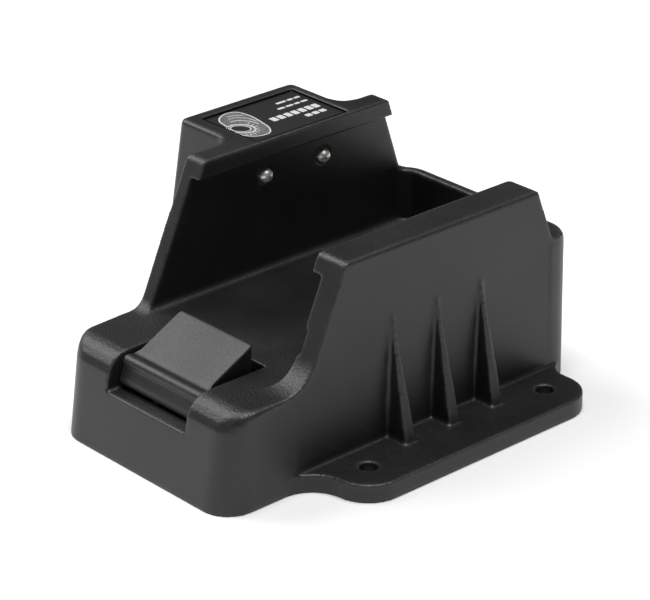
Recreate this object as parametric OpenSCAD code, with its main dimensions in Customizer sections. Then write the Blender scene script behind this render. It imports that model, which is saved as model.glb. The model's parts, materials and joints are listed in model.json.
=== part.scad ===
// Charging cradle for a right-angle torch. Millimetres, +Z up.
// The torch slides in from the front (-Y), over the ramp latch and under the
// lips of the two walls, until it meets the rear block. The modules are drawn
// with y = 0 at the front face's base line and x = 0 on the block's centre line,
// and place() then moves them so that the origin is the bottom centre of the
// whole cradle's box.

/* [Block] */
// Width of the moulded block at its base
body_w = 75; // [74:0.5:76]
// Length of the block from front face to rear face
body_l = 138.5; // [138:0.5:140]
// Height of the front block, level with the bay floor
block_h = 30; // [29.5:0.1:30.5]
// Height of the rear block's rim
rim_h = 46.9; // [44:0.1:50]
// Plan radius of the two front corners
corner_front = 9.6; // [8:0.1:11]
// Plan radius of the two rear corners
corner_back = 9.4; // [8:0.1:10]
// Lean of the front face, degrees
front_draft = 8; // [6:0.5:9]
// Lean of the side faces, degrees
side_draft = 1; // [0.5:0.25:1.5]
// Radius of the front block's top front edge
front_fillet = 8; // [6:0.5:9]

/* [Walls] */
// Height of the plain wall (+X side)
wall_h_right = 64; // [60:0.5:68]
// Height of the contact wall (-X side), level with the electronics box
wall_h_left = 73.4; // [72:0.1:75]
// Inner face of the plain wall, from the centre line
bay_right = 28.7; // [28:0.1:29.5]
// Inner face of the contact wall, from the centre line
bay_left = 32.2; // [31.8:0.1:32.6]
// How far each lip stands over the bay
lip_w = 3.8; // [2.5:0.1:4.2]
// Height of each lip
lip_h = 5.6; // [4.5:0.1:6.5]
// Slope of the walls' front edges, degrees from level
wall_slope = 66.4; // [65:0.2:68]

/* [Flanges] */
// Outer edge of each flange, from the centre line
flange_x = 58.3; // [57.5:0.1:59]
// Thickness of each flange
flange_t = 5.7; // [4.5:0.1:6.5]
// Screw hole position across, from the centre line
hole_x = 47; // [46:0.5:48]
// Distance along between the two screw holes of one flange
hole_pitch = 71; // [70:0.5:72]
// Diameter of the screw holes
hole_d = 5.4; // [4.2:0.1:5.6]
// Height of the gussets
gusset_h = 43.7; // [30:0.1:46]
// Distance between the gussets
gusset_pitch = 17.5; // [16:0.1:18.5]

/* [Latch] */
// Width of the latch
latch_w = 31.2; // [28:0.2:31.6]
// Width of the notch and window that the latch moves in
notch_w = 34.6; // [34.2:0.2:37]
// Height of the notch's front sill
sill_h = 19.2; // [18:0.1:19.3]
// Diameter of the pivot pin
pin_d = 2; // [1.6:0.1:2.2]
// Radial clearance of moving pins in their holes
run_gap = 0.06; // [0.03:0.01:0.09]

/* [Contacts] */
// Height of the charging contacts above the ground
contact_z = 60.5; // [59:0.1:61]
// Position of the front contact along the bay
contact_y = 76.4; // [76:0.1:77]
// Distance between the contacts
contact_pitch = 23; // [22.5:0.1:23.4]
// Diameter of the domed contact pins
contact_d = 4.7; // [4:0.1:4.8]

/* [Electronics] */
// Thickness of the circuit board
board_t = 1.6; // [1.2:0.1:1.6]
// Diameter of the power inlet's socket
jack_bore_d = 5.7; // [5.6:0.1:6]
// Depth of the recess that the label lies in
label_recess = 1.1; // [0.5:0.1:1.2]

/* [Hidden] */
$fn = 48;

// the electronics box reaches further out than the flange on its side
box_x = 62.3;
place_x = (box_x - flange_x) / 2;
place_y = -body_l / 2;

// wall positions of the electronics box
box_top_x = 59.5;
box_y0 = 65.9;
box_y1 = 111.1;

pivot = [10.9, 26.7];          // latch pivot, y and z
contact_y2 = contact_y + contact_pitch;
hole_y0 = 80.2 - hole_pitch / 2;
hole_y1 = 80.2 + hole_pitch / 2;
jack_x = -16;
jack_z = 14.5;
board_x = -51.4;               // outer face of the board
board_in = board_x + board_t;  // inner face of the board
plastic = [0.085, 0.085, 0.09];

function side_x(z) = body_w / 2 - z * tan(side_draft);
function front_y(z) = z * tan(front_draft);
function arc(cx, cy, r, a0, a1, n = 10) =
    [for (i = [0:n]) [cx + r * cos(a0 + (a1 - a0) * i / n), cy + r * sin(a0 + (a1 - a0) * i / n)]];
function unit(v) = v / norm(v);
function tangent(p, i) = unit(p[min(i + 1, len(p) - 1)] - p[max(i - 1, 0)]);

module place() translate([place_x, place_y, 0]) children();
// a profile given as (y, z), pulled along X
module along_x(x0, x1) translate([x0, 0, 0]) rotate([90, 0, 90]) linear_extrude(x1 - x0) children();
// a profile given as (x, z), pulled along Y
module along_y(y0, y1) translate([0, y1, 0]) rotate([90, 0, 0]) linear_extrude(y1 - y0) children();
// a round bar along X
module bar_x(x0, x1, y, z, r) translate([x0, y, z]) rotate([0, 90, 0]) cylinder(r = r, h = x1 - x0);
// a round bar along Y
module bar_y(y0, y1, x, z, r) translate([x, y1, z]) rotate([90, 0, 0]) cylinder(r = r, h = y1 - y0);

// tube swept along points; ref is a direction that the path never follows
module sweep(path, r, ref, n = 8) {
    m = len(path);
    pts = [for (i = [0:m - 1]) let (t = tangent(path, i), x = unit(cross(ref, t)), y = cross(t, x))
        for (j = [0:n - 1]) path[i] + r * (cos(j * 360 / n) * x + sin(j * 360 / n) * y)];
    sides = [for (i = [0:m - 2]) for (j = [0:n - 1])
        for (f = [[i * n + j, (i + 1) * n + j, (i + 1) * n + (j + 1) % n], [i * n + j, (i + 1) * n + (j + 1) % n, i * n + (j + 1) % n]]) f];
    caps = [[for (j = [0:n - 1]) j], [for (j = [n - 1:-1:0]) (m - 1) * n + j]];
    polyhedron(points = pts, faces = concat(sides, caps), convexity = 8);
}

// ---------------------------------------------------------------- body

// heights, insets and corner radii of the front block's rounded top
front_steps = [for (t = [0, 18, 36, 54, 70, 82, 90]) [block_h - front_fillet + front_fillet * sin(t),
    (front_fillet + (block_h - front_fillet) * sin(front_draft)) / cos(front_draft) - front_fillet * cos(t),
    t]];

module front_block() {
    hull() {
        for (s = [-1, 1]) {
            translate([s * (side_x(0) - corner_front), corner_front, 0]) cylinder(r = corner_front, h = 0.01, $fn = 40);
            for (k = front_steps) {
                inset = k[0] > block_h - 1.5 ? 1.5 - sqrt(max(0, 2.25 - pow(k[0] - block_h + 1.5, 2))) : 0;
                r = 9 - 6.5 * pow(k[2] / 90, 1.6);
                translate([s * (side_x(k[0]) - inset - r), k[1] + r, k[0] - 0.01]) cylinder(r = r, h = 0.01, $fn = 40);
            }
            translate([s * (side_x(0) - 0.3) - 0.25, 26, 0]) cube([0.5, 0.4, 0.01]);
            translate([s * (side_x(block_h) - 0.3) - 0.25, 26, block_h - 0.01]) cube([0.5, 0.4, 0.01]);
        }
    }
}

module rear_block() {
    r = corner_back;
    hull() {
        for (s = [-1, 1]) {
            for (k = [0, 25, 45, 65, 90]) {
                z = rim_h - 2.5 + 2.5 * sin(k);
                i = 2.5 * (1 - cos(k));
                translate([s * (side_x(z) - r), body_l - r, z - 0.01]) cylinder(r = r - i, h = 0.01, $fn = 40);
                translate([s * (side_x(z) - i - 0.05) - 0.25, 127.5, z - 0.06]) cube([0.5, 0.4, 0.05]);
            }
            translate([s * (side_x(0) - r), body_l - r, 0]) cylinder(r = r, h = 0.01, $fn = 40);
            translate([s * (side_x(0) - 0.3) - 0.25, 127.5, 0]) cube([0.5, 0.4, 0.05]);
        }
    }
}

// bay that the torch slides into, as a plan outline
module bay_plan(y1) {
    r = 5;
    translate([-bay_left, 100]) square([bay_left + bay_right, y1 - r - 100]);
    translate([-bay_left + r, 100]) square([bay_left + bay_right - 2 * r, y1 - 100]);
    translate([-bay_left + r, y1 - r]) circle(r);
    translate([bay_right - r, y1 - r]) circle(r);
}

// one half of the bay's cross-section, drawn for the +X side; groove is the depth
// of a shallow channel along the wall's inner face
module wall_section(h, inner, groove = 0) {
    top_r = 1.2;
    ox = side_x(h - top_r);
    polygon(concat(
        [[-1, 0], [side_x(0), 0]],
        arc(ox - top_r, h - top_r, top_r, 0, 90, 5),
        [[inner - lip_w, h], [inner - lip_w, h - lip_h], [inner, h - lip_h]],
        groove > 0 ? [[inner, 45], [inner + groove, 44], [inner + groove, 38]] : [],
        groove > 0 ? [[inner, 37.2]] : [],
        arc(inner - 2.2, block_h + 2.2, 2.2, 0, -90, 6),
        [[-1, block_h]]));
}

// side view of a wall: front fillet and slope, level top, rear slope down to the rim
module wall_side(h, fillet, y_top_rear, y_rim) {
    y_foot = 30.9;
    run = fillet * tan(wall_slope / 2);
    nose = 2.2;
    y_nose = y_foot + h / tan(wall_slope) - block_h / tan(wall_slope);
    nose_run = nose * tan((90 - (90 - wall_slope)) / 2);
    tail = atan2(h - rim_h, y_rim - y_top_rear);
    polygon(concat(
        [[25.8, 0], [25.8, block_h]],
        arc(y_foot - run, block_h + fillet, fillet, -90, -90 + wall_slope, 12),
        arc(y_nose + nose_run, h - nose, nose, 90 + wall_slope, 90, 6),
        arc(y_top_rear - 1.6 * tan(tail / 2), h - 1.6, 1.6, 90, 90 - tail, 5),
        arc(y_rim + 3 * tan(tail / 2), rim_h + 3, 3, 270 - tail, 270, 5),
        [[134.5, rim_h], [134.5, 0]]));
}

// keeps the walls inside the block's rounded rear corners
module rear_limit() {
    x = side_x(rim_h) - corner_back;
    y = body_l - corner_back;
    translate([0, 0, -1]) linear_extrude(100) {
        translate([-60, 0]) square([120, y]);
        translate([-x, 100]) square([2 * x, body_l - 0.1 - 100]);
        for (s = [-1, 1]) translate([s * x, y]) circle(corner_back - 0.1);
    }
}

module wall_right() intersection() {
    rear_limit();
    along_y(20, 134.5) wall_section(wall_h_right, bay_right, 1.2);
    along_x(-1, 40) wall_side(wall_h_right, 14, 121.8, 128);
}

module wall_left() intersection() {
    rear_limit();
    along_y(20, 134.5) mirror([1, 0]) wall_section(wall_h_left, bay_left);
    along_x(-40, 1) wall_side(wall_h_left, 6, 123.1, 132.0);
}

module box_section(x_top, x_mid, x_low, x_in, z_top, r)
    polygon(concat([[-x_in, -2], [-x_low, -2], [-x_low, 0], [-x_mid, 40]],
        arc(-x_top + r, z_top - r, r, 176, 90, 5), [[-x_in, z_top]]));

module box_side(y_top, y_mid, y_low, y_back, z_top, r)
    polygon(concat([[y_back, -2], [y_low, -2], [y_low, 0], [y_mid, 40]],
        arc(y_top + r, z_top - r, r, 174, 90, 5), arc(y_back - r, z_top - r, r, 90, 0, 5)));

// outer corners of the electronics box: height, outer edge, front edge, radius
box_steps = [[0, box_x, box_y0 - 4.4, 2.6], [40, box_x - 0.5, box_y0 - 3.5, 2.5], [wall_h_left - 1.2, box_top_x, box_y0, 2.3],
    [wall_h_left - 0.7, box_top_x - 0.2, box_y0 + 0.2, 2.1], [wall_h_left - 0.25, box_top_x - 0.6, box_y0 + 0.6, 1.7],
    [wall_h_left - 0.05, box_top_x - 1.2, box_y0 + 1.2, 1.2]];

// box on the outside of the contact wall; its top is level with the wall
module electronics_box() {
    hull() for (k = box_steps) {
        in = box_y1 - (k[0] > wall_h_left - 2 ? k[2] - box_y0 : 0);
        for (y = [k[2] + k[3], in - k[3]]) translate([-k[1] + k[3], y, max(0, k[0] - 0.01)]) cylinder(r = k[3], h = 0.01, $fn = 32);
        translate([-34.6, k[2], max(0, k[0] - 0.01)]) cube([0.2, in - k[2], 0.01]);
    }
    // hollow fillets where the box meets the wall
    linear_extrude(wall_h_left - 0.12) polygon(concat([[-34.2, box_y1 - 1], [-41.4, box_y1 - 1]], arc(-41.4, box_y1 + 5, 5, -90, 0, 8), [[-34.2, box_y1 + 5]]));
    linear_extrude(wall_h_left - 0.12) polygon(concat([[-34.2, box_y0 + 1], [-41.4, box_y0 + 1]], arc(-41.4, box_y0 - 5, 5, 90, 0, 8), [[-34.2, box_y0 - 5]]));
}

// flange plan: S-curves out of the block's sides, centred on the screw holes
module flange_plan() {
    r = flange_x - hole_x;
    // front: one arc hollow, one round, both of the flange's corner radius
    xs = side_x(0) - 0.1 + r;
    c = acos((xs - hole_x) / (2 * r));
    dy = 2 * r * sin(c);
    // rear: hollow arc that runs into the block's rear corner
    q = 8;
    bx = side_x(0) - corner_back;
    by = body_l - corner_back;
    d = norm([bx - hole_x, by - hole_y1]);
    u = [bx - hole_x, by - hole_y1] / d;
    along = (pow(r + q, 2) - pow(corner_back + q, 2) + d * d) / (2 * d);
    off = sqrt(pow(r + q, 2) - along * along);
    cx = hole_x + along * u[0] + off * u[1];
    cy = hole_y1 + along * u[1] - off * u[0];
    a1 = atan2(cy - hole_y1, cx - hole_x);
    a2 = atan2(by - cy, bx - cx);
    polygon(concat(
        [[30, hole_y0 - dy]],
        arc(xs, hole_y0 - dy, r, 180, 180 - c, 10),
        arc(hole_x, hole_y0, r, -c, 0, 10),
        arc(hole_x, hole_y1, r, 0, a1, 10),
        arc(cx, cy, q, a1 - 180, a2, 10),
        [[30, by]]));
}

module flange() difference() {
    linear_extrude(flange_t) flange_plan();
    for (y = [hole_y0, hole_y1]) translate([hole_x, y, -1]) cylinder(d = hole_d, h = flange_t + 2);
}

// tall gusset: a wedge that tapers both outwards and in thickness
module gusset(y) intersection() {
    along_y(y - 4, y + 4) polygon([[35, flange_t - 1], [45.2, flange_t - 1], [45, flange_t + 0.6], [side_x(gusset_h) + 0.1, gusset_h], [35, gusset_h]]);
    along_x(34, 46) polygon([[y - 2.2, flange_t - 1], [y + 2.2, flange_t - 1], [y + 0.35, gusset_h + 0.5], [y - 0.35, gusset_h + 0.5]]);
}

// inner side of the front block, open below
module front_hollow(x0, x1) intersection() {
    along_x(x0, x1) polygon(concat([[2.7, -1], [2.7 + front_y(block_h - front_fillet), block_h - front_fillet]],
        arc(11.3, block_h - front_fillet, 5.4, 172, 90, 6),
        [[35.5, block_h - front_fillet + 5.4], [35.5, -1]]));
    translate([0, 0, -1]) linear_extrude(60) {
        translate([-34.4 + 7, 2.7]) square([68.8 - 14, 40]);
        translate([-34.4, 9.7]) square([68.8, 40]);
        for (s = [-1, 1]) translate([s * (34.4 - 7), 9.7]) circle(7);
    }
}

module main_hollow() {
    r = 6.5;
    translate([0, 0, -1]) linear_extrude(block_h - 2.6 + 1) {
        translate([-34.5, 37.4]) square([69, 135.2 - r - 37.4]);
        translate([-34.5 + r, 37.4]) square([69 - 2 * r, 135.2 - 37.4]);
        for (s = [-1, 1]) translate([s * (34.5 - r), 135.2 - r]) circle(r);
    }
}

module box_hollow() intersection() {
    along_y(50, 120) box_section(box_top_x - 2.3, box_x - 2.8, box_x - 2.4, 36.9, wall_h_left - 2.5, 1);
    along_x(-70, -34) box_side(box_y0 + 2.4, box_y0 - 1.1, box_y0 - 2, box_y1 - 2.4, wall_h_left - 2.5, 1);
}

module cover_posts() {
    for (p = [[-31, 41], [31, 41], [-29.6, 130.2], [29.6, 130.2]])
        translate([p[0], p[1], 2.9]) cylinder(r = 4, h = 25.5);
    for (y = [box_y0 + 1.4, box_y1 - 5.6]) translate([-57, y, 2.9]) cylinder(r = 3.7, h = 25);
}
function cover_holes() = [[-31, 41], [31, 41], [-29.6, 130.2], [29.6, 130.2], [-57, box_y0 + 1.4], [-57, box_y1 - 5.6]];

function board_posts() = [[73, 16], [103, 16], [73, 46], [103, 46]];

module cradle_body() color(plastic) {
    difference() {
        union() {
            front_block();
            wall_right();
            wall_left();
            difference() {
                rear_block();
                intersection() {
                    translate([0, 0, block_h]) linear_extrude(30) bay_plan(134);
                    along_y(100, 135) polygon(concat([[-bay_left, 80]], arc(-bay_left + 2.2, block_h + 2.2, 2.2, 180, 270, 6),
                        arc(bay_right - 2.2, block_h + 2.2, 2.2, -90, 0, 6), [[bay_right, 80]]));
                }
            }
            electronics_box();
            flange();
            mirror([1, 0, 0]) flange();
            for (i = [-1:1]) gusset(80.7 + i * gusset_pitch);
        }
        // hollows, open below
        difference() {
            front_hollow(-40, 40);
            for (s = [-1, 1]) translate([s * (notch_w / 2 + 1.25) - 1.25, 0, 0]) cube([2.5, 40, 40]);
        }
        difference() {
            union() {
                main_hollow();
                along_x(bay_right + 2.5, bay_right + 5.3) polygon([[39, 26], [39, 36], [47.5, 59], [117, 59], [124, 42], [125.5, 26]]);
                box_hollow();
            }
            difference() {
                cover_posts();
                for (p = cover_holes()) translate([p[0], p[1], 0]) cylinder(r = 1.25, h = 13);
            }
            for (p = board_posts()) difference() {
                bar_x(board_in, -36, p[0], p[1], 2.7);
                bar_x(board_in - 1, -41.5, p[0], p[1], 1);
            }
        }
        // notch and window of the latch
        along_x(-notch_w / 2, notch_w / 2) polygon([[-5, sill_h], [5.2, sill_h], [5.2, -1], [35.5, -1], [35.5, block_h - 3], [32.7, block_h - 3], [32.7, block_h + 2], [-5, block_h + 2]]);
        bar_x(-notch_w / 2 - 2.3, notch_w / 2 + 2.3, pivot[0], pivot[1], pin_d / 2);
        // passage for the inlet's leads, and room for the cover
        translate([-40, 83, 6]) cube([8, 10.5, 11]);
        translate([-39, box_y0 - 1.9, -1]) cube([6, box_y1 - box_y0 - 0.6, 3.9]);
        // contact holes and their block's screw holes
        for (y = [contact_y, contact_y2]) bar_x(-38, -30, y, contact_z, contact_d / 2 + run_gap);
        for (z = [contact_z - 3.2, contact_z + 3.2]) bar_x(-37, -33.4, contact_y + contact_pitch / 2, z, 1);
        // inlet
        bar_y(130, 140, jack_x, jack_z, 4);
        bar_y(body_l - 1.3, 140, jack_x, jack_z, 6);
        // recess of the label
        translate([-55.3, 71.2, wall_h_left - label_recess]) cube([25.3, 36.4, 3]);
    }
    // ledge behind the notch's sill
    translate([-notch_w / 2 - 0.5, 4.5, sill_h - 2]) cube([notch_w + 1, 3.9, 2]);
    // seat of the latch spring
    difference() {
        translate([-notch_w / 2 - 0.5, 19.5, 8]) cube([notch_w + 1, 8, 2.4]);
        translate([0, 23.5, 7]) cylinder(r = 1.2, h = 5);
    }
}

// ---------------------------------------------------------------- latch

// side view of the latch: apron, hump over the pivot, shallow groove, ramp
latch_side = concat(
    [[8.7, 19.9], [7.9, 20.3], [7.35, 20.9], [7.15, 21.7], [7.3, 22.9], [7.8, 24.2], [8.3, 25.4], [8.65, 26.3]],
    arc(10.35, 27.15, 1.9, 195, 78, 9),
    [[11.6, 28.72], [12.1, 28.62], [12.6, 28.68], [13.2, 29.0], [13.9, 29.42]],
    arc(29.3, 36.2, 0.9, 115, 5, 6),
    [[30.9, 30.5], [31.0, 28.2], [30.2, 27], [26, 24.6], [16, 21.4], [11, 20.2]]);

// plan of the latch: the hump is wider than the ramp, with hollow corners between
module latch_plan() {
    w = latch_w / 2;
    wide = notch_w / 2 - 0.6;
    translate([-wide + 0.8, 5]) square([2 * wide - 1.6, 8]);
    for (s = [-1, 1]) translate([s * (wide - 0.8), 0]) plan_end(0.8);
    difference() {
        translate([-wide, 12.4]) square([2 * wide, 3.0]);
        for (s = [-1, 1]) translate([s * (w + 3), 15.4]) circle(3);
        for (s = [-1, 1]) translate([s * (wide + 1.0) - 1, 12.4]) square([2, 3.1]);
    }
    translate([-w, 12]) square([2 * w, 31.2 - 1.4 - 12]);
    translate([-w + 1.4, 12]) square([2 * w - 2.8, 31.2 - 12]);
    for (s = [-1, 1]) translate([s * (w - 1.4), 31.2 - 1.4]) circle(1.4);
}
module plan_end(r) translate([-r, 5]) square([2 * r, 7.8]);

module release_latch() color([0.1, 0.1, 0.105]) {
    w = latch_w / 2;
    difference() {
        intersection() {
            along_x(-notch_w / 2, notch_w / 2) polygon(latch_side);
            linear_extrude(60) latch_plan();
        }
        bar_x(-40, 40, pivot[0], pivot[1], pin_d / 2 + run_gap);
        along_x(-w + 2.2, w - 2.2) polygon([[15.2, 15], [15.2, 27.0], [28.5, 33.2], [28.5, 15]]);
    }
    // peg that holds the top of the spring
    translate([0, 23.5, 28.2]) cylinder(r = 1.5, h = 3.5);
}

module latch_pin() color([0.72, 0.72, 0.74]) bar_x(-notch_w / 2 - 2.2, notch_w / 2 + 2.2, pivot[0], pivot[1], pin_d / 2);

latch_coil = [for (i = [0:78]) let (a = i * 22.5 * 1.15, u = i / 78) [3.0 * cos(a), 23.5 + 3.0 * sin(a), 10.9 + 17.9 * u]];
module latch_spring() color([0.7, 0.7, 0.72]) sweep(latch_coil, 0.4, [0, 0, 1], 8);

// ---------------------------------------------------------------- contacts

module contact_pin(y) color([0.8, 0.76, 0.68]) {
    r = contact_d / 2;
    bar_x(-38.0, -32.3, y, contact_z, r);
    translate([-32.3, y, contact_z]) sphere(r);
    bar_x(-38.2, -37.3, y, contact_z, 3);
    bar_x(-40.5, -38.1, y, contact_z, 1.4);
}
module contact_pin_front() contact_pin(contact_y);
module contact_pin_rear() contact_pin(contact_y2);

module contact_spring(y) color([0.72, 0.72, 0.74])
    sweep([for (i = [0:60]) let (a = i * 24, u = i / 60) [-38.6 - 4.9 * u, y + 2.3 * cos(a), contact_z + 2.3 * sin(a)]], 0.3, [1, 0, 0], 8);
module contact_spring_front() contact_spring(contact_y);
module contact_spring_rear() contact_spring(contact_y2);

module contact_block() color([0.75, 0.73, 0.66]) difference() {
    translate([-46.4, 69.5, contact_z - 5.4]) cube([9.4, 36.8, 10.8]);
    for (y = [contact_y, contact_y2]) {
        bar_x(-44.6, -36, y, contact_z, 3.15);
        translate([-47, y - 1.6, contact_z - 0.4]) cube([3, 3.2, 0.8]);
    }
    for (z = [-3.2, 3.2]) bar_x(-50, -36, contact_y + contact_pitch / 2, contact_z + z, 1.35);
}

module contact_terminals() color([0.83, 0.66, 0.32]) for (y = [contact_y, contact_y2]) {
    bar_x(-44.5, -43.95, y, contact_z, 3.0);
    translate([-49.0, y - 1.5, contact_z - 0.3]) cube([4.7, 3, 0.6]);
}

module screw_x(x0, x1, y, z, r, head_r, head_h) {
    bar_x(x0, x1, y, z, r);
    difference() {
        bar_x(x0 - head_h, x0, y, z, head_r);
        translate([x0 - head_h - 0.1, y - 0.35, z - head_r * 0.6]) cube([head_h * 0.6, 0.7, head_r * 1.2]);
        translate([x0 - head_h - 0.1, y - head_r * 0.6, z - 0.35]) cube([head_h * 0.6, head_r * 1.2, 0.7]);
    }
}

module block_screws() color([0.7, 0.7, 0.72]) for (z = [-3.2, 3.2])
    screw_x(-46.5, -33.6, contact_y + contact_pitch / 2, contact_z + z, 1.25, 2.3, 1.6);

// lead from a terminal down to the board; d is the side that it bends to
function contact_route(y, d) = [[-48.4, y, contact_z - 1.2], [-48.5, y, contact_z - 3], [-48.5, y + 0.6 * d, 55.2], [-48.2, y + 2 * d, 53.2],
    [-48.1, y + 2.6 * d, 51.6], [-48.3, y + 2.8 * d, 50.6], [-48.8, y + 2.8 * d, 50.1], [-49.6, y + 2.8 * d, 50]];
module contact_lead_positive() color([0.7, 0.08, 0.06]) sweep(contact_route(contact_y, 1), 0.6, [0, 1, 0.2], 8);
module contact_lead_negative() color([0.05, 0.05, 0.05]) sweep(contact_route(contact_y2, -1), 0.6, [0, 1, 0.2], 8);

// ---------------------------------------------------------------- board

module circuit_board() color([0.05, 0.3, 0.14]) difference() {
    translate([board_x, 69, 9]) cube([board_t, 37.6, 57]);
    for (p = board_posts()) bar_x(board_x - 1, board_in + 1, p[0], p[1], 1.3);
}

module board_screws() color([0.7, 0.7, 0.72]) for (p = board_posts())
    screw_x(board_x - 0.02, -43.5, p[0], p[1], 1.2, 2.3, 1.5);

// gull-wing package with its legs on the board's outer face
module charge_controller() color([0.12, 0.12, 0.13]) {
    translate([board_x - 1.75, 84, 34]) cube([1.5, 5, 4]);
    for (i = [0:3]) for (s = [-1, 1]) {
        translate([board_x - 0.28, 84.45 + i * 1.27, s > 0 ? 37.9 : 33]) cube([0.26, 0.4, 1.1]);
        translate([board_x - 1.1, 84.45 + i * 1.27, s > 0 ? 37.9 : 33.8]) cube([0.95, 0.4, 0.3]);
    }
}

module power_inductor() color([0.25, 0.25, 0.27]) difference() {
    union() {
        translate([board_x - 4.6, 74, 26]) cube([4.5, 9, 9]);
        bar_x(board_x - 0.3, board_x - 0.02, 78.5, 30.5, 3);
    }
    bar_x(board_x - 5, board_x - 4.2, 78.5, 30.5, 3.6);
}

module filter_capacitors() color([0.16, 0.18, 0.3]) for (p = [[93.5, 27], [101, 33]]) {
    bar_x(board_x - 6.8, board_x - 0.9, p[0], p[1], 3.1);
    bar_x(board_x - 1.0, board_x - 0.02, p[0], p[1], 3.4);
}

module rectifier_diodes() color([0.1, 0.1, 0.1]) for (y = [76, 84]) {
    translate([board_x - 2.2, y, 52]) cube([2.0, 4.4, 3.4]);
    translate([board_x - 0.26, y - 0.8, 52.8]) cube([0.24, 6.0, 1.8]);
}

module chip_components() color([0.6, 0.5, 0.35])
    for (p = [[91, 45], [94, 45], [97, 45], [91, 49], [94, 49], [76, 41], [79.5, 41], [92, 56], [95, 56], [98, 56], [87, 28], [87, 24]])
        translate([board_x - 0.72, p[0], p[1]]) cube([0.7, 1.25, 2]);

module board_connector() color([0.82, 0.8, 0.74]) difference() {
    translate([board_in + 0.02, 83.5, 12]) cube([6.5, 9, 6.4]);
    for (y = [85.8, 90.2]) bar_x(board_in + 2.4, board_in + 7, y, 15.2, 1.25);
}

// ---------------------------------------------------------------- inlet

module dc_jack() color([0.1, 0.1, 0.11]) {
    y1 = body_l - 0.15;
    difference() {
        union() {
            bar_y(y1 - 1.1, y1, jack_x, jack_z, 5.8);
            bar_y(126.5, y1 - 1, jack_x, jack_z, 3.9);
        }
        bar_y(y1 - 9.5, y1 + 1, jack_x, jack_z, jack_bore_d / 2);
    }
    bar_y(y1 - 10, y1 - 1.2, jack_x, jack_z, 1);
    for (x = [-2, 2]) translate([jack_x + x - 0.9, 122.3, jack_z - 0.25]) cube([1.8, 4.4, 0.5]);
}

module jack_washer() color([0.75, 0.75, 0.77]) difference() {
    bar_y(134.3, 135.15, jack_x, jack_z, 6.3);
    bar_y(134, 136, jack_x, jack_z, 4.1);
}

module jack_nut() color([0.75, 0.75, 0.77]) difference() {
    translate([jack_x, 134.25, jack_z]) rotate([90, 0, 0]) cylinder(r = 6.35, h = 2.1, $fn = 6);
    bar_y(131, 136, jack_x, jack_z, 3.88);
}

module jack_lead_positive() color([0.7, 0.08, 0.06])
    sweep([[jack_x - 2, 121.9, jack_z], [jack_x - 2, 119.5, jack_z], [jack_x - 2.6, 115.5, 13.2], [-22.5, 108, 11.4], [-27, 100, 10.6],
        [-31, 93.4, 10.4], [-34.5, 90.6, 10.8], [-38, 90.2, 12.4], [-40.6, 90.2, 14.4], [-42.4, 90.2, 15.1], [-43.6, 90.2, 15.2], [-45.4, 90.2, 15.2], [-47.3, 90.2, 15.2]], 0.85, [0, 0, 1], 8);
module jack_lead_negative() color([0.05, 0.05, 0.05])
    sweep([[jack_x + 2, 121.9, jack_z], [jack_x + 2, 119.5, jack_z], [jack_x + 1, 114, 12.4], [-20.5, 103.4, 9.8], [-26, 94, 8.8],
        [-31, 88, 8.6], [-34.5, 86.2, 9.2], [-38, 85.8, 11.6], [-40.6, 85.8, 14.2], [-42.4, 85.8, 15.1], [-43.6, 85.8, 15.2], [-45.4, 85.8, 15.2], [-47.3, 85.8, 15.2]], 0.85, [0, 0, 1], 8);

// ---------------------------------------------------------------- covers, label

module base_cover() color([0.09, 0.09, 0.095]) difference() {
    union() {
        r = 6.2;
        translate([0, 0, 0.4]) linear_extrude(2.3) {
            translate([-34.2, 37.7]) square([68.4, 134.9 - r - 37.7]);
            translate([-34.2 + r, 37.7]) square([68.4 - 2 * r, 134.9 - 37.7]);
            for (s = [-1, 1]) translate([s * (34.2 - r), 134.9 - r]) circle(r);
            translate([-59.5, box_y0 - 1.6]) square([30, box_y1 - box_y0 - 1.2]);
        }
    }
    for (p = cover_holes()) {
        translate([p[0], p[1], 0]) cylinder(r = 1.7, h = 5);
        translate([p[0], p[1], 0.39]) cylinder(r1 = 3.0, r2 = 1.5, h = 1.6);
    }
}

module cover_screws() color([0.25, 0.25, 0.26]) for (p = cover_holes()) translate([p[0], p[1], 0]) difference() {
    union() {
        translate([0, 0, 0.45]) cylinder(r1 = 2.9, r2 = 1.45, h = 1.5);
        translate([0, 0, 1.9]) cylinder(r = 1.45, h = 9.6);
    }
    translate([-0.35, -1.6, 0]) cube([0.7, 3.2, 1.2]);
    translate([-1.6, -0.35, 0]) cube([3.2, 0.7, 1.2]);
}

module label_plate() color([0.06, 0.06, 0.065]) translate([-55.15, 71.35, wall_h_left - label_recess + 0.02]) cube([25.0, 36.1, 0.34]);

place() cradle_body();
place() release_latch();
place() latch_pin();
place() latch_spring();
place() contact_pin_front();
place() contact_pin_rear();
place() contact_spring_front();
place() contact_spring_rear();
place() contact_block();
place() contact_terminals();
place() block_screws();
place() contact_lead_positive();
place() contact_lead_negative();
place() circuit_board();
place() board_screws();
place() charge_controller();
place() power_inductor();
place() filter_capacitors();
place() rectifier_diodes();
place() chip_components();
place() board_connector();
place() dc_jack();
place() jack_washer();
place() jack_nut();
place() jack_lead_positive();
place() jack_lead_negative();
place() base_cover();
place() cover_screws();
place() label_plate();
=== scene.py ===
import json
import math

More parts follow.
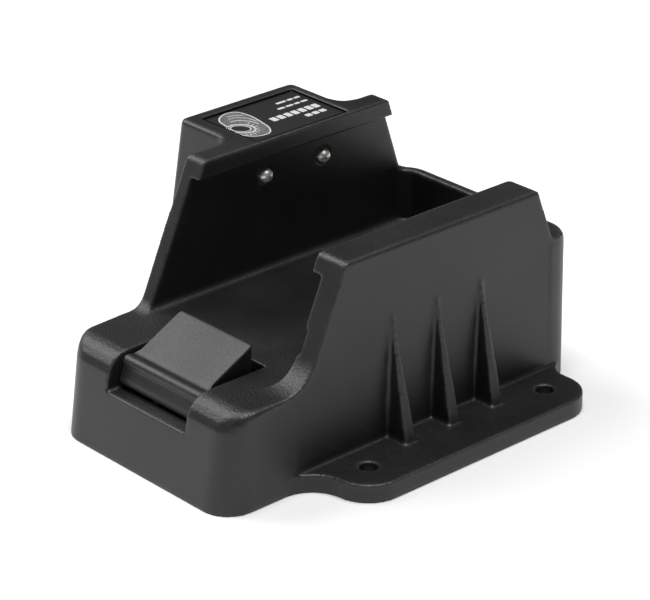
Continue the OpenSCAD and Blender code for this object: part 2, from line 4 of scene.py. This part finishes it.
import bmesh
import bpy
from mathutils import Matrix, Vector


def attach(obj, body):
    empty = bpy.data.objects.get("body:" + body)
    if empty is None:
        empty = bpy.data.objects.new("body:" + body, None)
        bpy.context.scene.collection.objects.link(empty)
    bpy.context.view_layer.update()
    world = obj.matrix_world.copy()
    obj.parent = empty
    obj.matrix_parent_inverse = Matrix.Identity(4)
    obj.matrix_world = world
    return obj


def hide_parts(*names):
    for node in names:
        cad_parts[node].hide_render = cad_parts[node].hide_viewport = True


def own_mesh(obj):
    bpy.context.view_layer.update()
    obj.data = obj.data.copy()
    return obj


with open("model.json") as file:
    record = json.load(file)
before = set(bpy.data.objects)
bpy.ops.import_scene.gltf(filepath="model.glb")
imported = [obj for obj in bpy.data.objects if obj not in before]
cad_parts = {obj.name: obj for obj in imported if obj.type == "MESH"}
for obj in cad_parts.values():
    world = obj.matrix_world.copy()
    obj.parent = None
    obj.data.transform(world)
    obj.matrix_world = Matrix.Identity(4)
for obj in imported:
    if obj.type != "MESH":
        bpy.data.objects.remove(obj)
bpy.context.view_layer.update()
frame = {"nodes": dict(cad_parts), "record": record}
nodes = frame["nodes"]

PX, PY = 0.002, -0.06925


def at(x, y, z):
    """A point given in the drawing's own millimetres, in the row frame in metres."""
    return Vector((x / 1000 + PX, y / 1000 + PY, z / 1000))


# ------------------------------------------------------------------ camera

cam = bpy.data.objects.new("camera", bpy.data.cameras.new("camera"))
bpy.context.scene.collection.objects.link(cam)
cam.data.sensor_width = 36
cam.data.lens = 162.58
cam.data.clip_start = 0.01
cam.data.clip_end = 50
cam.location = (0.576229, -0.520521, 0.397416)
cam.rotation_euler = (Vector((0.051661, -0.043402, 0.064014)) - cam.location).to_track_quat("-Z", "Y").to_euler()
bpy.context.scene.camera = cam
bpy.context.scene.view_settings.view_transform = "Standard"

# ------------------------------------------------------------------ materials


class Mat:
    """A material under construction: nodes are added by type and wired by name."""

    def __init__(self, name):
        self.m = bpy.data.materials.new(name)
        self.m.use_nodes = True
        self.t = self.m.node_tree
        self.b = self.t.nodes["Principled BSDF"]
        self.co = self.t.nodes.new("ShaderNodeTexCoord").outputs["Object"]

    def node(self, kind, **inputs):
        n = self.t.nodes.new(kind)
        for k, v in inputs.items():
            k = k.replace("_", " ")
            if hasattr(v, "is_linked"):
                self.t.links.new(v, n.inputs[k])
            else:
                n.inputs[k].default_value = v
        return n

    def noise(self, scale, detail=2.0, rough=0.5):
        n = self.node("ShaderNodeTexNoise", Vector=self.co, Scale=scale, Detail=detail, Roughness=rough)
        return n.outputs["Fac"]

    def ramp(self, fac, a, b, lo=0.3, hi=0.7):
        n = self.t.nodes.new("ShaderNodeValToRGB")
        self.t.links.new(fac, n.inputs["Fac"])
        n.color_ramp.elements[0].position = lo
        n.color_ramp.elements[1].position = hi
        n.color_ramp.elements[0].color = (*a, 1)
        n.color_ramp.elements[1].color = (*b, 1)
        return n.outputs["Color"]

    def remap(self, fac, lo, hi, a=0.3, b=0.7):
        n = self.node("ShaderNodeMapRange")
        self.t.links.new(fac, n.inputs["Value"])
        n.inputs["From Min"].default_value = a
        n.inputs["From Max"].default_value = b
        n.inputs["To Min"].default_value = lo
        n.inputs["To Max"].default_value = hi
        return n.outputs["Result"]

    def mix(self, fac, a, b):
        n = self.t.nodes.new("ShaderNodeMix")
        n.data_type = "RGBA"
        for i, v in ((0, fac), (6, a), (7, b)):
            if hasattr(v, "is_linked"):
                self.t.links.new(v, n.inputs[i])
            elif i == 0:
                n.inputs[i].default_value = v
            else:
                n.inputs[i].default_value = (*v, 1)
        return n.outputs[2]

    def math(self, op, a, b=0.0):
        n = self.t.nodes.new("ShaderNodeMath")
        n.operation = op
        for i, v in ((0, a), (1, b)):
            if hasattr(v, "is_linked"):
                self.t.links.new(v, n.inputs[i])
            else:
                n.inputs[i].default_value = v
        return n.outputs[0]

    def bump(self, height, distance, strength=1.0, normal=None):
        n = self.node("ShaderNodeBump", Height=height, Distance=distance, Strength=strength)
        if normal is not None:
            self.t.links.new(normal, n.inputs["Normal"])
        return n.outputs["Normal"]

    def set(self, **values):
        for k, v in values.items():
            k = k.replace("_", " ")
            if hasattr(v, "is_linked"):
                self.t.links.new(v, self.b.inputs[k])
            elif k == "Base Color":
                self.b.inputs[k].default_value = (*v, 1)
            else:
                self.b.inputs[k].default_value = v
        return self


def moulded(name, dark, light, rough, grain=1900, depth=0.000035, specular=0.5, edge=None, coarse=0.00022):
    """Black moulded plastic with a spark-eroded grain and slightly rubbed edges."""
    m = Mat(name)
    cloud = m.noise(45, 3, 0.55)
    grit = m.noise(grain, 3, 0.6)
    pits = m.node("ShaderNodeTexVoronoi", Vector=m.co, Scale=grain * 0.55)
    colour = m.ramp(cloud, dark, light, 0.35, 0.7)
    colour = m.mix(m.remap(grit, 0.0, 0.5), colour, tuple(c * 1.5 for c in light))
    if edge is not None:
        rub = m.node("ShaderNodeAttribute")
        rub.attribute_name = "edge_rub"
        worn = m.math("MULTIPLY", rub.outputs["Fac"], m.remap(m.noise(700, 3, 0.6), 0.35, 1.0, 0.35, 0.6))
        colour = m.mix(worn, colour, edge)
    m.set(Base_Color=colour)
    m.set(Roughness=m.math("ADD", m.remap(cloud, rough - 0.03, rough + 0.05), m.remap(grit, -0.05, 0.05)))
    fine = m.bump(grit, depth, 0.8)
    surface = m.bump(pits.outputs["Distance"], depth * 0.6, 0.6, fine)
    # faces that look up have a coarser grain
    up = m.t.nodes.new("ShaderNodeSeparateXYZ")
    m.t.links.new(m.t.nodes.new("ShaderNodeNewGeometry").outputs["Normal"], up.inputs[0])
    facing = m.remap(up.outputs["Z"], 0.0, 1.0, 0.3, 1.0)
    m.set(Normal=m.bump(m.math("MULTIPLY", m.noise(1300, 2, 0.6), facing), coarse, 1.0, surface))
    m.b.inputs["Specular IOR Level"].default_value = specular
    return m.m


def metal(name, dark, light, rough, streak=(1, 1, 1), scale=900, depth=0.000004):
    m = Mat(name)
    place = m.node("ShaderNodeMapping", Vector=m.co)
    place.inputs["Scale"].default_value = streak
    grain = m.node("ShaderNodeTexNoise", Vector=place.outputs["Vector"], Scale=scale, Detail=4.0).outputs["Fac"]
    m.set(Base_Color=m.ramp(grain, dark, light), Metallic=1.0)
    m.set(Roughness=m.remap(grain, rough - 0.06, rough + 0.1), Normal=m.bump(grain, depth, 0.5))
    return m.m


def plain(name, dark, light, rough, scale=1500, depth=0.00001, specular=0.5):
    m = Mat(name)
    grain = m.noise(scale, 3)
    m.set(Base_Color=m.ramp(grain, dark, light), Roughness=m.remap(grain, rough - 0.05, rough + 0.05))
    m.set(Normal=m.bump(grain, depth, 0.6))
    m.b.inputs["Specular IOR Level"].default_value = specular
    return m.m


M = {
    "moulded_shell": moulded("shell_plastic", (0.0055, 0.0055, 0.0057), (0.0085, 0.0085, 0.0088), 0.4, edge=(0.05, 0.05, 0.05)),
    "moulded_latch": moulded("latch_plastic", (0.006, 0.006, 0.0062), (0.009, 0.009, 0.0093), 0.42, edge=(0.05, 0.05, 0.05), coarse=0.0001),
    "cover_plastic": moulded("cover_plastic", (0.012, 0.012, 0.012), (0.018, 0.018, 0.018), 0.55, edge=(0.05, 0.05, 0.05)),
    "inlet_plastic": plain("inlet_plastic", (0.01, 0.01, 0.01), (0.016, 0.016, 0.016), 0.28),
    "label_film": plain("label_film", (0.009, 0.009, 0.0095), (0.013, 0.013, 0.0135), 0.42, 2500, 0.000006),
    "bright_steel": metal("zinc_steel", (0.42, 0.42, 0.43), (0.62, 0.62, 0.63), 0.3, (1, 1, 0.3)),
    "dark_steel": metal("black_steel", (0.03, 0.03, 0.032), (0.07, 0.07, 0.072), 0.38),
    "spring_steel": metal("spring_steel", (0.35, 0.35, 0.36), (0.55, 0.55, 0.56), 0.26, (1, 1, 1), 1600),
    "contact_nickel": metal("contact_nickel", (0.86, 0.81, 0.76), (0.97, 0.93, 0.88), 0.4, (0.3, 1, 1), 1200),
    "terminal_brass": metal("brass", (0.55, 0.4, 0.16), (0.75, 0.57, 0.26), 0.27),
    "block_plastic": plain("natural_plastic", (0.5, 0.48, 0.4), (0.62, 0.6, 0.52), 0.5),
    "lead_red": plain("red_insulation", (0.35, 0.02, 0.015), (0.5, 0.035, 0.025), 0.35),
    "lead_black": plain("black_insulation", (0.01, 0.01, 0.01), (0.02, 0.02, 0.02), 0.35),
    "board_green": plain("solder_mask", (0.008, 0.08, 0.03), (0.02, 0.15, 0.06), 0.3, 400),
    "chip_black": plain("package_black", (0.012, 0.012, 0.013), (0.025, 0.025, 0.026), 0.5),
    "capacitor_can": plain("capacitor_sleeve", (0.015, 0.02, 0.06), (0.03, 0.04, 0.11), 0.3),
    "chip_tan": plain("ceramic", (0.25, 0.18, 0.1), (0.42, 0.32, 0.2), 0.45),
    "connector_plastic": plain("connector_plastic", (0.55, 0.53, 0.46), (0.7, 0.68, 0.6), 0.45),
}
ink = plain("label_ink", (0.42, 0.42, 0.42), (0.62, 0.62, 0.62), 0.5, 3000, 0.000004)
grey_ink = plain("label_grey_ink", (0.06, 0.06, 0.062), (0.16, 0.16, 0.165), 0.5, 1400, 0.000004)
# painted shade: near-black matte material for the strip that darkens the wall of the label recess
painted_recess_shade = plain("label_painted_recess_shade", (0.0008, 0.0008, 0.0008), (0.0015, 0.0015, 0.0015), 0.9, 1500, 0.000004, 0.05)

# ------------------------------------------------------------------ mesh helpers


def use(obj, material):
    obj.data.materials.clear()
    obj.data.materials.append(material)


def add(name, me, body, stands_for=()):
    obj = bpy.data.objects.new(name, me)
    bpy.context.scene.collection.objects.link(obj)
    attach(obj, body)
    if stands_for:
        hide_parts(*stands_for)
    return obj


def baked(obj):
    """The object's mesh with its modifiers applied."""
    bpy.context.view_layer.update()
    dg = bpy.context.evaluated_depsgraph_get()
    me = bpy.data.meshes.new_from_object(obj.evaluated_get(dg))
    obj.modifiers.clear()
    obj.data = me
    return me


def shade(me, smooth=True):
    me.polygons.foreach_set("use_smooth", [smooth] * len(me.polygons))
    me.update()


def mark_edges(me, reach):
    """Stores how convex the surface is at each point, so the material can rub the edges."""
    bm = bmesh.new()
    bm.from_mesh(me)
    values = []
    for v in bm.verts:
        if not v.link_edges:
            values.append(0.0)
            continue
        mid = sum((e.other_vert(v).co for e in v.link_edges), Vector()) / len(v.link_edges)
        values.append((v.co - mid).dot(v.normal))
    for _ in range(2):
        values = [0.5 * values[v.index] + 0.5 * sum(values[e.other_vert(v).index] for e in v.link_edges) / max(1, len(v.link_edges)) for v in bm.verts]
    bm.free()
    a = me.attributes.new("edge_rub", "FLOAT", "POINT")
    a.data.foreach_set("value", [max(0.0, min(1.0, x / reach)) for x in values])


def moulded_copy(node, voxel, passes, keep, reach, trim=None):
    """A copy of a CAD node with every edge rounded, as moulding leaves it; trim is a shape it is cut to."""
    me = nodes[node].data.copy()
    obj = bpy.data.objects.new(node + "_moulded", me)
    bpy.context.scene.collection.objects.link(obj)
    if trim is not None:
        w = obj.modifiers.new("weld", "WELD")
        w.merge_threshold = 0.000001
        c = obj.modifiers.new("trim", "BOOLEAN")
        c.operation = "INTERSECT"
        c.object = trim
        baked(obj)
        bpy.data.objects.remove(trim)
    r = obj.modifiers.new("remesh", "REMESH")
    r.mode = "VOXEL"
    r.voxel_size = voxel
    s = obj.modifiers.new("smooth", "SMOOTH")
    s.factor = 0.5
    s.iterations = passes
    me = baked(obj)
    mark_edges(me, reach)
    if keep < 1:
        d = obj.modifiers.new("decimate", "DECIMATE")
        d.ratio = keep
        me = baked(obj)
    shade(me)
    me.materials.clear()
    return obj


shell = moulded_copy("cradle_body", 0.0005, 4, 0.4, 0.00008)
use(shell, M["moulded_shell"])
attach(shell, "cradle")
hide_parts("cradle_body")
shell.name = "moulded_shell"



def latch_trim():
    """A tall prism whose plan rounds the two rear corners of the ramp."""
    plan = [(-20, 3), (20, 3), (20, 20), (15.8, 20.1)]
    plan += [(13.2 + 2.4 * math.cos(math.radians(a)), 28.0 + 2.4 * math.sin(math.radians(a))) for a in range(0, 91, 10)]
    plan += [(-13.2 - 2.4 * math.sin(math.radians(a)), 28.0 + 2.4 * math.cos(math.radians(a))) for a in range(0, 91, 10)]
    plan += [(-15.8, 20.1), (-20, 20)]
    bm = bmesh.new()
    lo = [bm.verts.new(at(x, y, 5)) for x, y in plan]
    hi = [bm.verts.new(at(x, y, 60)) for x, y in plan]
    bm.faces.new(lo[::-1])
    bm.faces.new(hi)
    for i in range(len(plan)):
        j = (i + 1) % len(plan)
        bm.faces.new((lo[i], lo[j], hi[j], hi[i]))
    bmesh.ops.recalc_face_normals(bm, faces=bm.faces)
    me = bpy.data.meshes.new("trim")
    bm.to_mesh(me)
    bm.free()
    obj = bpy.data.objects.new("trim", me)
    bpy.context.scene.collection.objects.link(obj)
    return obj


latch = moulded_copy("release_latch", 0.00028, 10, 0.5, 0.00004, latch_trim())
use(latch, M["moulded_latch"])
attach(latch, "latch")
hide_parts("release_latch")
latch.name = "ramp_latch"


def turned(name, profile, origin, axis, segments, body, slot, stands_for=()):
    """A turned piece: profile is (distance along axis, radius) in millimetres from origin."""
    axis = Vector(axis).normalized()
    side = axis.orthogonal().normalized()
    other = axis.cross(side)
    bm = bmesh.new()
    rings = []
    for d, r in profile:
        c = origin + axis * d / 1000
        if r <= 1e-6:
            rings.append([bm.verts.new(c)])
        else:
            rings.append([bm.verts.new(c + (side * math.cos(2 * math.pi * i / segments) + other * math.sin(2 * math.pi * i / segments)) * r / 1000) for i in range(segments)])
    for a, b in zip(rings, rings[1:]):
        for i in range(segments):
            j = (i + 1) % segments
            if len(a) == 1:
                bm.faces.new((a[0], b[j], b[i]))
            elif len(b) == 1:
                bm.faces.new((a[i], a[j], b[0]))
            else:
                bm.faces.new((a[i], a[j], b[j], b[i]))
    bmesh.ops.recalc_face_normals(bm, faces=bm.faces)
    me = bpy.data.meshes.new(name)
    bm.to_mesh(me)
    bm.free()
    shade(me)
    obj = add(name, me, body, stands_for)
    use(obj, M[slot])
    return obj


# contact pins: a domed nose with a fine rolled rim, a collar and a stem
for end, y in (("front", 76.4), ("rear", 99.4)):
    dome = [(5.7 + 2.35 * math.sin(a), 2.35 * math.cos(a)) for a in [math.radians(x) for x in range(0, 90, 6)]] + [(8.05, 0.0)]
    turned("contact_dome_" + end,
           [(-2.5, 0.0), (-2.5, 1.25), (-2.35, 1.4), (-0.2, 1.4), (-0.2, 2.85), (-0.05, 3.0), (0.55, 3.0), (0.7, 2.85), (0.7, 2.35), (5.5, 2.35)] + dome,
           at(-38.0, y, 60.5), (1, 0, 0), 64, "contact_" + end, "contact_nickel", ("contact_pin_" + end,))


def wire(name, points, radius, sides, ref, body, slot, stands_for):
    """A round wire swept along points, with flat ends."""
    ref = Vector(ref)
    bm = bmesh.new()
    rings = []
    n = len(points)
    for i, p in enumerate(points):
        t = (points[min(i + 1, n - 1)] - points[max(i - 1, 0)]).normalized()
        x = ref.cross(t).normalized()
        y = t.cross(x)
        rings.append([bm.verts.new(p + (x * math.cos(2 * math.pi * k / sides) + y * math.sin(2 * math.pi * k / sides)) * radius) for k in range(sides)])
    for a, b in zip(rings, rings[1:]):
        for k in range(sides):
            bm.faces.new((a[k], a[(k + 1) % sides], b[(k + 1) % sides], b[k]))
    bm.faces.new(rings[0][::-1])
    bm.faces.new(rings[-1])
    bmesh.ops.recalc_face_normals(bm, faces=bm.faces)
    me = bpy.data.meshes.new(name)
    bm.to_mesh(me)
    bm.free()
    shade(me)
    obj = add(name, me, body, stands_for)
    use(obj, M[slot])
    return obj


def coil(turns, steps, radius, centre, along, pitch_ends):
    """Points of a coil; along is the axis, and pitch_ends are its first and last place on it in millimetres."""
    pts = []
    for i in range(turns * steps + 1):
        u = i / (turns * steps)
        a = 2 * math.pi * i / steps
        # the first and last turn lie closed
        w = (max(0.0, u * turns - 0.8) if u * turns < 0.8 else u * turns - 0.8)
        w = min(1.0, max(0.0, w / (turns - 1.6)))
        d = pitch_ends[0] + (pitch_ends[1] - pitch_ends[0]) * (0.08 * u + 0.92 * w)
        if along == "z":
            pts.append(at(centre[0] + radius * math.cos(a), centre[1] + radius * math.sin(a), d))
        else:
            pts.append(at(d, centre[0] + radius * math.cos(a), centre[1] + radius * math.sin(a)))
    return pts


spring = wire("latch_coil", coil(6, 24, 3.0, (0, 23.5), "z", (10.9, 28.8)), 0.0004, 10, (0, 0, 1), "cradle", "spring_steel", ("latch_spring",))
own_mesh(spring)
for end, y in (("front", 76.4), ("rear", 99.4)):
    s = wire("contact_coil_" + end, coil(4, 24, 2.3, (y, 60.5), "x", (-43.5, -38.6)), 0.0003, 10, (1, 0, 0), "cradle", "spring_steel", ("contact_spring_" + end,))
    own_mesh(s)

# ------------------------------------------------------------------ label


def slab(name, outlines, z0, z1, body, slot, material, stands_for=(), soften=0.0):
    """Flat shapes between two heights; each outline is a list of (x, y) in millimetres."""
    bm = bmesh.new()
    for o in outlines:
        lo = [bm.verts.new(at(x, y, z0)) for x, y in o]
        hi = [bm.verts.new(at(x, y, z1)) for x, y in o]
        bm.faces.new(lo[::-1])
        bm.faces.new(hi)
        for i in range(len(o)):
            j = (i + 1) % len(o)
            bm.faces.new((lo[i], lo[j], hi[j], hi[i]))
    bmesh.ops.recalc_face_normals(bm, faces=bm.faces)
    if soften:
        edges = [e for e in bm.edges if all(v.co.z > (z0 + z1) / 2000 for v in e.verts)]
        bmesh.ops.bevel(bm, geom=edges, offset=soften / 1000, segments=2, affect="EDGES")
    me = bpy.data.meshes.new(name)
    bm.to_mesh(me)
    bm.free()
    obj = add(name, me, body, stands_for)
    use(obj, material)
    return obj


def rounded(x0, y0, x1, y1, r, n=6):
    pts = []
    for cx, cy, a0 in ((x1 - r, y0 + r, -90), (x1 - r, y1 - r, 0), (x0 + r, y1 - r, 90), (x0 + r, y0 + r, 180)):
        pts += [(cx + r * math.cos(math.radians(a0 + 90 * i / n)), cy + r * math.sin(math.radians(a0 + 90 * i / n))) for i in range(n + 1)]
    return pts


slab("label_film", [rounded(-55.0, 71.5, -30.3, 107.3, 0.9)], 72.33, 72.66, "cradle", "label_film", M["label_film"], ("label_plate",), 0.06)


def ribbon(points, width, closed=True):
    """A band of even width along points, as a list of four-cornered outlines."""
    n = len(points)
    out = []
    sides = []
    for i, p in enumerate(points):
        a = points[(i - 1) % n] if closed or i else p
        b = points[(i + 1) % n] if closed or i < n - 1 else p
        d1 = Vector((p[0] - a[0], p[1] - a[1]))
        d2 = Vector((b[0] - p[0], b[1] - p[1]))
        d = (d1.normalized() if d1.length else Vector((0, 0))) + (d2.normalized() if d2.length else Vector((0, 0)))
        d.normalize()
        side = Vector((-d.y, d.x)) * width / 2
        sides.append(((p[0] + side.x, p[1] + side.y), (p[0] - side.x, p[1] - side.y)))
    for i in range(n if closed else n - 1):
        a, b = sides[i], sides[(i + 1) % n]
        out.append([a[0], a[1], b[1], b[0]])
    return out


def ellipse(cx, cy, rx, ry, turn=0.0, n=40):
    c, s = math.cos(math.radians(turn)), math.sin(math.radians(turn))
    return [(cx + rx * math.cos(2 * math.pi * i / n) * c - ry * math.sin(2 * math.pi * i / n) * s,
             cy + rx * math.cos(2 * math.pi * i / n) * s + ry * math.sin(2 * math.pi * i / n) * c) for i in range(n)]


def smooth_loop(points, steps=5):
    """A closed smooth line through points."""
    n = len(points)
    out = []
    for i in range(n):
        p0, p1, p2, p3 = (Vector(points[(i + k) % n]) for k in (-1, 0, 1, 2))
        for j in range(steps):
            t = j / steps
            q = 0.5 * ((2 * p1) + (p2 - p0) * t + (2 * p0 - 5 * p1 + 4 * p2 - p3) * t * t + (3 * p1 - p0 - 3 * p2 + p3) * t * t * t)
            out.append((q.x, q.y))
    return out


INK = (72.67, 72.73)
# a plain drawing of a torch: outline, lens rings, ribs of the head, grip lines
torch = ribbon(smooth_loop([(-50.2, 74.2), (-52.9, 76.6), (-54.0, 80.2), (-52.6, 83.2), (-47.6, 84.2), (-41.4, 83.3), (-36.4, 81.9), (-33.6, 79.2), (-34.2, 75.0), (-37.6, 72.3), (-42.4, 71.9), (-46.6, 73.4)]), 0.42)
torch += ribbon(ellipse(-41.7, 75.4, 4.3, 3.3, 35), 0.55)
torch += ribbon(ellipse(-41.9, 75.3, 3.1, 2.3, 35, 32), 0.35)
for k in range(-62, 75, 17):
    a = math.radians(k + 35)
    torch += ribbon([(-41.7 + 4.6 * math.cos(a), 75.4 + 3.9 * math.sin(a)), (-41.7 + 6.1 * math.cos(a), 75.4 + 5.2 * math.sin(a))], 0.34, False)
torch += ribbon([(-48.2, 76.6), (-47.4, 79.2), (-44.6, 81.2), (-41.2, 81.9)], 0.4, False)
torch += ribbon([(-50.2, 77.4), (-49.4, 80.4), (-46.6, 82.4), (-43.2, 82.8)], 0.3, False)
torch += ribbon([(-51.9, 78.4), (-51.2, 80.9), (-49.4, 82.6)], 0.3, False)
slab("label_drawing", torch, *INK, "cradle", "label_film", ink)
outline = smooth_loop([(-50.2, 74.2), (-52.9, 76.6), (-54.0, 80.2), (-52.6, 83.2), (-47.6, 84.2), (-41.4, 83.3), (-36.4, 81.9), (-33.6, 79.2), (-34.2, 75.0), (-37.6, 72.3), (-42.4, 71.9), (-46.6, 73.4)])
slab("label_shade", [outline], 72.66, 72.68, "cradle", "label_film", grey_ink)
slab("label_lens", [ellipse(-41.9, 75.3, 3.0, 2.2, 35, 32)], 72.66, 72.7, "cradle", "label_film", M["label_film"])
# painted shade: a near-black matte strip between the film and the wall of its recess, standing where that wall lies in
# shadow
slab("label_painted_recess_shade", ribbon(rounded(-55.1, 71.4, -30.2, 107.4, 0.8), 0.42), 72.4, 73.1, "cradle", "label_film", painted_recess_shade)
# blocks and bars where the real label has its print
bars = []
for x, y, w, h in ([(-36.6, y, 2.0, 2.2) for y in (96.6, 99.4, 102.2)] + [(-40.9, y, 2.9, 2.1) for y in (86.6, 89.4, 92.2, 95.0, 97.8, 100.6, 103.2)]):
    bars.append(rounded(x - w / 2, y, x + w / 2, y + h, 0.35, 3))
for x, runs in ((-46.2, ((93.8, 96.6), (97.2, 99.9), (100.5, 102.6), (103.2, 105.6))), (-49.9, ((96.4, 100.2), (100.8, 103.0), (103.6, 105.8)))):
    for y0, y1 in runs:
        bars.append(rounded(x - 0.55, y0, x + 0.55, y1, 0.25, 3))
slab("label_bars", bars, *INK, "cradle", "label_film", ink)

# ------------------------------------------------------------------ carried-over CAD nodes

replaced = {"cradle_body", "release_latch", "contact_pin_front", "contact_pin_rear", "latch_spring", "contact_spring_front", "contact_spring_rear", "label_plate"}
slots = {p["node"]: p["material_slot"] for p in frame["record"]["subparts"]}
soft_edges = {"base_cover": 0.0004, "dc_jack": 0.00025, "jack_nut": 0.0002, "jack_washer": 0.00012, "cover_screws": 0.00012, "board_screws": 0.00012,
              "block_screws": 0.00012, "contact_block": 0.0003, "board_connector": 0.0002, "charge_controller": 0.0001, "power_inductor": 0.0004,
              "filter_capacitors": 0.0003, "rectifier_diodes": 0.0001, "circuit_board": 0.0001, "latch_pin": 0.0002, "contact_terminals": 0.0001}
for name, obj in nodes.items():
    if name in replaced:
        continue
    use(obj, M[slots[name]])
    if name in soft_edges:
        w = obj.modifiers.new("weld", "WELD")
        w.merge_threshold = 0.000001
        b = obj.modifiers.new("soft_edges", "BEVEL")
        b.width = soft_edges[name]
        b.segments = 2
        b.limit_method = "ANGLE"
        b.angle_limit = math.radians(40)
        b.harden_normals = False

# ------------------------------------------------------------------ floor and light


def flat_material(name, colour, rough):
    m = Mat(name)
    g = m.noise(3, 2)
    m.set(Base_Color=m.ramp(g, tuple(c * 0.995 for c in colour), colour), Roughness=rough)
    m.b.inputs["Specular IOR Level"].default_value = 0.1
    return m.m


bm = bmesh.new()
bmesh.ops.create_grid(bm, x_segments=1, y_segments=1, size=3.0)
me = bpy.data.meshes.new("floor")
bm.to_mesh(me)
bm.free()
floor = bpy.data.objects.new("floor", me)
bpy.context.scene.collection.objects.link(floor)
use(floor, flat_material("pale_floor", (0.9, 0.9, 0.9), 0.9))

world = bpy.data.worlds.new("studio")
bpy.context.scene.world = world
world.use_nodes = True
world.node_tree.nodes["Background"].inputs["Color"].default_value = (1, 1, 1, 1)
world.node_tree.nodes["Background"].inputs["Strength"].default_value = 0.1


def area(name, place, target, size, power, size_y=None):
    light = bpy.data.lights.new(name, "AREA")
    light.shape = "RECTANGLE"
    light.size = size
    light.size_y = size_y or size
    light.energy = power
    obj = bpy.data.objects.new(name, light)
    bpy.context.scene.collection.objects.link(obj)
    obj.location = place
    obj.rotation_euler = (Vector(target) - Vector(place)).to_track_quat("-Z", "Y").to_euler()
    return obj


# a large soft box on the left, one above, and a weak one in front
area("left_box", (-1.0, -0.32, 1.02), (0, 0, 0.03), 1.0, 17, 1.25)
area("front_fill", (0.15, -1.5, 1.2), (0, 0, 0.03), 0.7, 1.2)
area("top", (0.3, 0.0, 1.6), (0, 0, 0.0), 0.9, 25)
